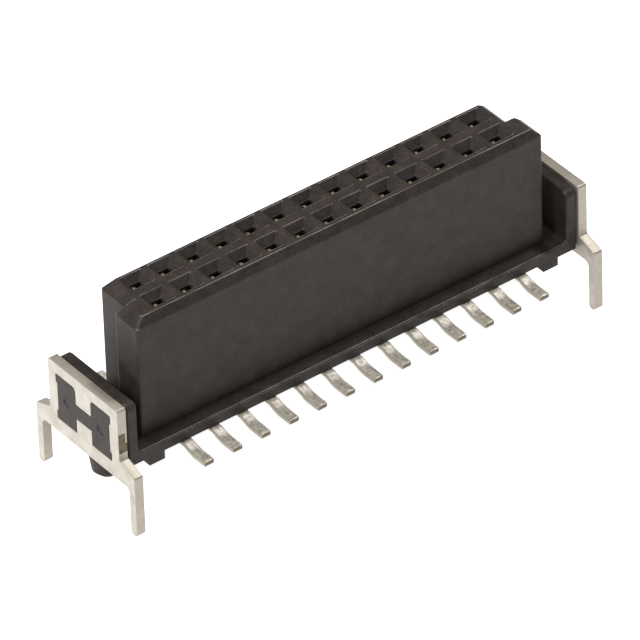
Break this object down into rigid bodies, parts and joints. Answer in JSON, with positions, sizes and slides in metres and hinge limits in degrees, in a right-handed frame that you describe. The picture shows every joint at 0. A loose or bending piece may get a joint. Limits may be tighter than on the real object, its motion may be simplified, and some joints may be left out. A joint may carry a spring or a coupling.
{
  "type": "smd receptacle connector",
  "caption": "Upright two-row fine-pitch surface-mount receptacle with funnelled entries, gull-wing tails, locating pegs and board-lock clips.",
  "frame": {"origin": "centre of the footprint on the face of the circuit board, in the middle of the contact grid and of the four board-lock legs", "axes": "+X along the contact rows, +Y from the longer keyed row towards the shorter row, +Z away from the board, the way the mating pins leave"},
  "size_m": [0.0212, 0.0068, 0.0081],
  "materials": {
    "housing_plastic": "black glass-filled moulding, satin, faintly mottled",
    "contact_strip": "copper alloy strip with a satin tin plate on the tails and a pale gold plate on the beam tips",
    "clip_sheet": "copper alloy sheet, matt tin plate, bare at the sheared tab stub"
  },
  "bodies": {
    "root": {"housing": "housing_plastic", "contact_front_01": "contact_strip", "contact_front_02": "contact_strip", "contact_front_03": "contact_strip", "contact_front_04": "contact_strip", "contact_front_05": "contact_strip", "contact_front_06": "contact_strip", "contact_front_07": "contact_strip", "contact_front_08": "contact_strip", "contact_front_09": "contact_strip", "contact_front_10": "contact_strip", "contact_front_11": "contact_strip", "contact_front_12": "contact_strip", "contact_front_13": "contact_strip", "contact_rear_01": "contact_strip", "contact_rear_02": "contact_strip", "contact_rear_03": "contact_strip", "contact_rear_04": "contact_strip", "contact_rear_05": "contact_strip", "contact_rear_06": "contact_strip", "contact_rear_07": "contact_strip", "contact_rear_08": "contact_strip", "contact_rear_09": "contact_strip", "contact_rear_10": "contact_strip", "contact_rear_11": "contact_strip", "contact_rear_12": "contact_strip", "contact_rear_13": "contact_strip", "clip_left": "clip_sheet", "clip_right": "clip_sheet"}
  },
  "joints": []
}
